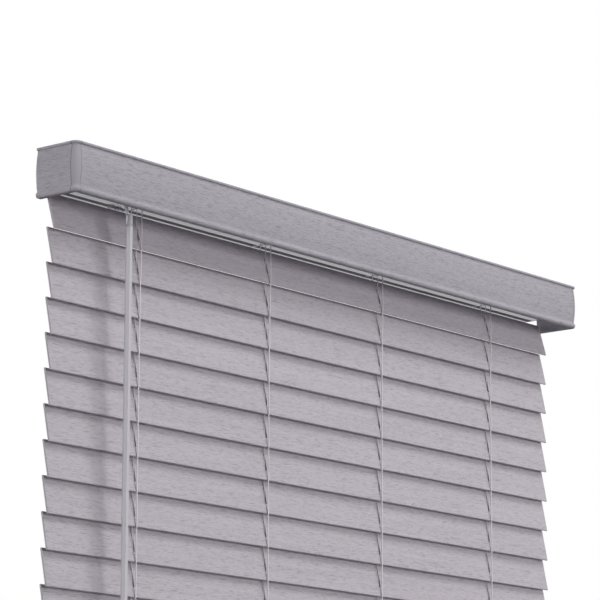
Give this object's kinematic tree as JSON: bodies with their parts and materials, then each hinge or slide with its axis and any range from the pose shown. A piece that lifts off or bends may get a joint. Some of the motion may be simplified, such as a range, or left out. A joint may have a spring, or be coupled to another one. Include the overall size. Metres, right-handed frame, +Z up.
{
  "type": "faux wood blind",
  "caption": "Window blind with wide flat grain-embossed slats on string ladders, a profiled valance with returns, a hexagonal tilt wand and a cordless lift with bottom rail.",
  "frame": {"origin": "centre of the headrail's flat back face", "axes": "+X to the right as seen from the room, +Y to the wall, +Z up"},
  "size_m": [1.13, 0.0872, 0.8949],
  "materials": {
    "vinyl_grain": "embossed wood grain, grey",
    "vinyl_smooth": "smooth grey",
    "headrail_paint": "pale grey paint",
    "white_plastic": "moulded",
    "grey_plastic": "moulded",
    "wand_plastic": "satin",
    "steel": "drawn",
    "cord": "braided"
  },
  "bodies": {
    "headrail": {"headrail": "headrail_paint", "headrail_end_caps": "white_plastic", "valance_front": "vinyl_grain", "valance_returns": "vinyl_grain", "valance_corners": "vinyl_smooth", "valance_clips": "white_plastic", "tilter_case": "grey_plastic", "ladder_cradles": "white_plastic", "lift_motor": "grey_plastic", "lift_cords": "cord"},
    "rod": {"tilt_rod": "steel", "worm_wheel": "white_plastic", "ladder_drums": "white_plastic"},
    "worm": {"worm_stem": "white_plastic"},
    "wand": {"wand_sleeve": "grey_plastic", "wand_hook": "steel", "wand": "wand_plastic"},
    "slat_01": {"slat_01": "vinyl_grain", "rungs_01": "cord"},
    "front_tops": {"ladder_front_tops": "cord"},
    "back_tops": {"ladder_back_tops": "cord"},
    "front_strings": {"ladder_front_strings": "cord"},
    "back_strings": {"ladder_back_strings": "cord"},
    "ladder_02": {"rungs_02": "cord"},
    "slat_02": {"slat_02": "vinyl_grain"},
    "ladder_03": {"rungs_03": "cord"},
    "slat_03": {"slat_03": "vinyl_grain"},
    "ladder_04": {"rungs_04": "cord"},
    "slat_04": {"slat_04": "vinyl_grain"},
    "ladder_05": {"rungs_05": "cord"},
    "slat_05": {"slat_05": "vinyl_grain"},
    "ladder_06": {"rungs_06": "cord"},
    "slat_06": {"slat_06": "vinyl_grain"},
    "ladder_07": {"rungs_07": "cord"},
    "slat_07": {"slat_07": "vinyl_grain"},
    "ladder_08": {"rungs_08": "cord"},
    "slat_08": {"slat_08": "vinyl_grain"},
    "ladder_09": {"rungs_09": "cord"},
    "slat_09": {"slat_09": "vinyl_grain"},
    "ladder_10": {"rungs_10": "cord"},
    "slat_10": {"slat_10": "vinyl_grain"},
    "ladder_11": {"rungs_11": "cord"},
    "slat_11": {"slat_11": "vinyl_grain"},
    "ladder_12": {"rungs_12": "cord"},
    "slat_12": {"slat_12": "vinyl_grain"},
    "ladder_13": {"rungs_13": "cord"},
    "slat_13": {"slat_13": "vinyl_grain"},
    "ladder_14": {"rungs_14": "cord"},
    "slat_14": {"slat_14": "vinyl_grain"},
    "ladder_15": {"rungs_15": "cord"},
    "slat_15": {"slat_15": "vinyl_grain"},
    "ladder_16": {"rungs_16": "cord"},
    "slat_16": {"slat_16": "vinyl_grain"},
    "ladder_17": {"rungs_17": "cord"},
    "slat_17": {"slat_17": "vinyl_grain"},
    "knots": {"cord_knots": "cord"},
    "rail": {"bottom_rail": "vinyl_grain", "rail_end_caps": "vinyl_grain", "rail_buttons": "vinyl_smooth"}
  },
  "joints": [
    {"name": "tilt", "type": "hinge", "parent": "headrail", "child": "rod", "pos_m": [0, -0.029, 0.004], "axis": [1, 0, 0], "range_deg": [-157, 0], "deforming": ["ladder_front_tops", "ladder_back_tops"]},
    {"name": "worm_turn", "type": "hinge", "parent": "headrail", "child": "worm", "pos_m": [-0.44305, -0.0672, -0.049], "axis": [0, 0.3973, 0.9177], "range_deg": [-2199, 0]},
    {"name": "wand_turn", "type": "hinge", "parent": "headrail", "child": "wand", "pos_m": [-0.44305, -0.0672, -0.049], "axis": [0, 0, 1], "range_deg": [-2199, 0]},
    {"name": "slat_01_tilt", "type": "hinge", "parent": "headrail", "child": "slat_01", "pos_m": [0, -0.029, -0.0535], "axis": [1, 0, 0], "range_deg": [-148.02, 0]},
    {"name": "ladder_02_lift", "type": "slide", "parent": "headrail", "child": "ladder_02", "axis": [0, 0, 1], "range_m": [0, 0.02501]},
    {"name": "slat_02_tilt", "type": "hinge", "parent": "ladder_02", "child": "slat_02", "pos_m": [0, -0.029, -0.0995], "axis": [1, 0, 0], "range_deg": [-153.62, 0], "deforming": ["rungs_02"]},
    {"name": "ladder_03_lift", "type": "slide", "parent": "headrail", "child": "ladder_03", "axis": [0, 0, 1], "range_m": [0, 0.05001]},
    {"name": "slat_03_tilt", "type": "hinge", "parent": "ladder_03", "child": "slat_03", "pos_m": [0, -0.029, -0.1455], "axis": [1, 0, 0], "range_deg": [-155.62, 0], "deforming": ["rungs_03"]},
    {"name": "ladder_04_lift", "type": "slide", "parent": "headrail", "child": "ladder_04", "axis": [0, 0, 1], "range_m": [0, 0.07501]},
    {"name": "slat_04_tilt", "type": "hinge", "parent": "ladder_04", "child": "slat_04", "pos_m": [0, -0.029, -0.1915], "axis": [1, 0, 0], "range_deg": [-157.02, 0], "deforming": ["rungs_04"]},
    {"name": "ladder_05_lift", "type": "slide", "parent": "headrail", "child": "ladder_05", "axis": [0, 0, 1], "range_m": [0, 0.10001]},
    {"name": "slat_05_tilt", "type": "hinge", "parent": "ladder_05", "child": "slat_05", "pos_m": [0, -0.029, -0.2375], "axis": [1, 0, 0], "range_deg": [-157.02, 0], "deforming": ["rungs_05"]},
    {"name": "ladder_06_lift", "type": "slide", "parent": "headrail", "child": "ladder_06", "axis": [0, 0, 1], "range_m": [0, 0.12501]},
    {"name": "slat_06_tilt", "type": "hinge", "parent": "ladder_06", "child": "slat_06", "pos_m": [0, -0.029, -0.2835], "axis": [1, 0, 0], "range_deg": [-157.02, 0], "deforming": ["rungs_06"]},
    {"name": "ladder_07_lift", "type": "slide", "parent": "headrail", "child": "ladder_07", "axis": [0, 0, 1], "range_m": [0, 0.15001]},
    {"name": "slat_07_tilt", "type": "hinge", "parent": "ladder_07", "child": "slat_07", "pos_m": [0, -0.029, -0.3295], "axis": [1, 0, 0], "range_deg": [-157.02, 0], "deforming": ["rungs_07"]},
    {"name": "ladder_08_lift", "type": "slide", "parent": "headrail", "child": "ladder_08", "axis": [0, 0, 1], "range_m": [0, 0.17501]},
    {"name": "slat_08_tilt", "type": "hinge", "parent": "ladder_08", "child": "slat_08", "pos_m": [0, -0.029, -0.3755], "axis": [1, 0, 0], "range_deg": [-157.02, 0], "deforming": ["rungs_08"]},
    {"name": "ladder_09_lift", "type": "slide", "parent": "headrail", "child": "ladder_09", "axis": [0, 0, 1], "range_m": [0, 0.20001]},
    {"name": "slat_09_tilt", "type": "hinge", "parent": "ladder_09", "child": "slat_09", "pos_m": [0, -0.029, -0.4215], "axis": [1, 0, 0], "range_deg": [-157.02, 0], "deforming": ["rungs_09"]},
    {"name": "ladder_10_lift", "type": "slide", "parent": "headrail", "child": "ladder_10", "axis": [0, 0, 1], "range_m": [0, 0.22501]},
    {"name": "slat_10_tilt", "type": "hinge", "parent": "ladder_10", "child": "slat_10", "pos_m": [0, -0.029, -0.4675], "axis": [1, 0, 0], "range_deg": [-157.02, 0], "deforming": ["rungs_10"]},
    {"name": "ladder_11_lift", "type": "slide", "parent": "headrail", "child": "ladder_11", "axis": [0, 0, 1], "range_m": [0, 0.25001]},
    {"name": "slat_11_tilt", "type": "hinge", "parent": "ladder_11", "child": "slat_11", "pos_m": [0, -0.029, -0.5135], "axis": [1, 0, 0], "range_deg": [-157.02, 0], "deforming": ["rungs_11"]},
    {"name": "ladder_12_lift", "type": "slide", "parent": "headrail", "child": "ladder_12", "axis": [0, 0, 1], "range_m": [0, 0.27501]},
    {"name": "slat_12_tilt", "type": "hinge", "parent": "ladder_12", "child": "slat_12", "pos_m": [0, -0.029, -0.5595], "axis": [1, 0, 0], "range_deg": [-157.02, 0], "deforming": ["rungs_12"]},
    {"name": "ladder_13_lift", "type": "slide", "parent": "headrail", "child": "ladder_13", "axis": [0, 0, 1], "range_m": [0, 0.30001]},
    {"name": "slat_13_tilt", "type": "hinge", "parent": "ladder_13", "child": "slat_13", "pos_m": [0, -0.029, -0.6055], "axis": [1, 0, 0], "range_deg": [-157.02, 0], "deforming": ["rungs_13"]},
    {"name": "ladder_14_lift", "type": "slide", "parent": "headrail", "child": "ladder_14", "axis": [0, 0, 1], "range_m": [0, 0.32501]},
    {"name": "slat_14_tilt", "type": "hinge", "parent": "ladder_14", "child": "slat_14", "pos_m": [0, -0.029, -0.6515], "axis": [1, 0, 0], "range_deg": [-157.02, 0], "deforming": ["rungs_14"]},
    {"name": "ladder_15_lift", "type": "slide", "parent": "headrail", "child": "ladder_15", "axis": [0, 0, 1], "range_m": [0, 0.35001]},
    {"name": "slat_15_tilt", "type": "hinge", "parent": "ladder_15", "child": "slat_15", "pos_m": [0, -0.029, -0.6975], "axis": [1, 0, 0], "range_deg": [-157.02, 0], "deforming": ["rungs_15"]},
    {"name": "ladder_16_lift", "type": "slide", "parent": "headrail", "child": "ladder_16", "axis": [0, 0, 1], "range_m": [0, 0.37501]},
    {"name": "slat_16_tilt", "type": "hinge", "parent": "ladder_16", "child": "slat_16", "pos_m": [0, -0.029, -0.7435], "axis": [1, 0, 0], "range_deg": [-157.02, 0], "deforming": ["rungs_16"]},
    {"name": "ladder_17_lift", "type": "slide", "parent": "headrail", "child": "ladder_17", "axis": [0, 0, 1], "range_m": [0, 0.40001]},
    {"name": "slat_17_tilt", "type": "hinge", "parent": "ladder_17", "child": "slat_17", "pos_m": [0, -0.029, -0.7895], "axis": [1, 0, 0], "range_deg": [-157.02, 0], "deforming": ["rungs_17"]},
    {"name": "front_tops_swing", "type": "hinge", "parent": "slat_01", "child": "front_tops", "pos_m": [0, -0.03564, -0.07667], "axis": [1, 0, 0], "range_deg": [0, 148.02]},
    {"name": "front_strings_swing", "type": "hinge", "parent": "rod", "child": "front_strings", "pos_m": [0, -0.03381, -0.01962], "axis": [1, 0, 0], "range_deg": [0, 157.02]},
    {"name": "back_tops_swing", "type": "hinge", "parent": "slat_01", "child": "back_tops", "pos_m": [0, -0.02236, -0.03033], "axis": [1, 0, 0], "range_deg": [0, 148.02]},
    {"name": "back_strings_swing", "type": "hinge", "parent": "rod", "child": "back_strings", "pos_m": [0, -0.0242, 0.02762], "axis": [1, 0, 0], "range_deg": [0, 157.02]},
    {"name": "lift", "type": "slide", "parent": "headrail", "child": "knots", "axis": [0, 0, 1], "range_m": [0, 0.4], "deforming": ["lift_cords", "ladder_front_strings", "ladder_back_strings"]},
    {"name": "rail_tilt", "type": "hinge", "parent": "knots", "child": "rail", "pos_m": [0, -0.029, -0.8415], "axis": [1, 0, 0], "range_deg": [-157.02, 0]}
  ],
  "couplings": [
    {"joint": "worm_turn", "follows": "tilt", "ratio": 14},
    {"joint": "wand_turn", "follows": "tilt", "ratio": 14},
    {"joint": "slat_01_tilt", "follows": "tilt", "ratio": 0.94268},
    {"joint": "ladder_02_lift", "follows": "lift", "ratio": 0.0625},
    {"joint": "slat_02_tilt", "follows": "tilt", "ratio": 0.97834},
    {"joint": "ladder_03_lift", "follows": "lift", "ratio": 0.125},
    {"joint": "slat_03_tilt", "follows": "tilt", "ratio": 0.99108},
    {"joint": "ladder_04_lift", "follows": "lift", "ratio": 0.1875},
    {"joint": "slat_04_tilt", "follows": "tilt", "ratio": 1},
    {"joint": "ladder_05_lift", "follows": "lift", "ratio": 0.25},
    {"joint": "slat_05_tilt", "follows": "tilt", "ratio": 1},
    {"joint": "ladder_06_lift", "follows": "lift", "ratio": 0.3125},
    {"joint": "slat_06_tilt", "follows": "tilt", "ratio": 1},
    {"joint": "ladder_07_lift", "follows": "lift", "ratio": 0.375},
    {"joint": "slat_07_tilt", "follows": "tilt", "ratio": 1},
    {"joint": "ladder_08_lift", "follows": "lift", "ratio": 0.4375},
    {"joint": "slat_08_tilt", "follows": "tilt", "ratio": 1},
    {"joint": "ladder_09_lift", "follows": "lift", "ratio": 0.5},
    {"joint": "slat_09_tilt", "follows": "tilt", "ratio": 1},
    {"joint": "ladder_10_lift", "follows": "lift", "ratio": 0.5625},
    {"joint": "slat_10_tilt", "follows": "tilt", "ratio": 1},
    {"joint": "ladder_11_lift", "follows": "lift", "ratio": 0.625},
    {"joint": "slat_11_tilt", "follows": "tilt", "ratio": 1},
    {"joint": "ladder_12_lift", "follows": "lift", "ratio": 0.6875},
    {"joint": "slat_12_tilt", "follows": "tilt", "ratio": 1},
    {"joint": "ladder_13_lift", "follows": "lift", "ratio": 0.75},
    {"joint": "slat_13_tilt", "follows": "tilt", "ratio": 1},
    {"joint": "ladder_14_lift", "follows": "lift", "ratio": 0.8125},
    {"joint": "slat_14_tilt", "follows": "tilt", "ratio": 1},
    {"joint": "ladder_15_lift", "follows": "lift", "ratio": 0.875},
    {"joint": "slat_15_tilt", "follows": "tilt", "ratio": 1},
    {"joint": "ladder_16_lift", "follows": "lift", "ratio": 0.9375},
    {"joint": "slat_16_tilt", "follows": "tilt", "ratio": 1},
    {"joint": "ladder_17_lift", "follows": "lift", "ratio": 1},
    {"joint": "slat_17_tilt", "follows": "tilt", "ratio": 1},
    {"joint": "front_tops_swing", "follows": "tilt", "ratio": -0.94268},
    {"joint": "front_strings_swing", "follows": "tilt", "ratio": -1},
    {"joint": "back_tops_swing", "follows": "tilt", "ratio": -0.94268},
    {"joint": "back_strings_swing", "follows": "tilt", "ratio": -1},
    {"joint": "rail_tilt", "follows": "tilt", "ratio": 1}
  ]
}
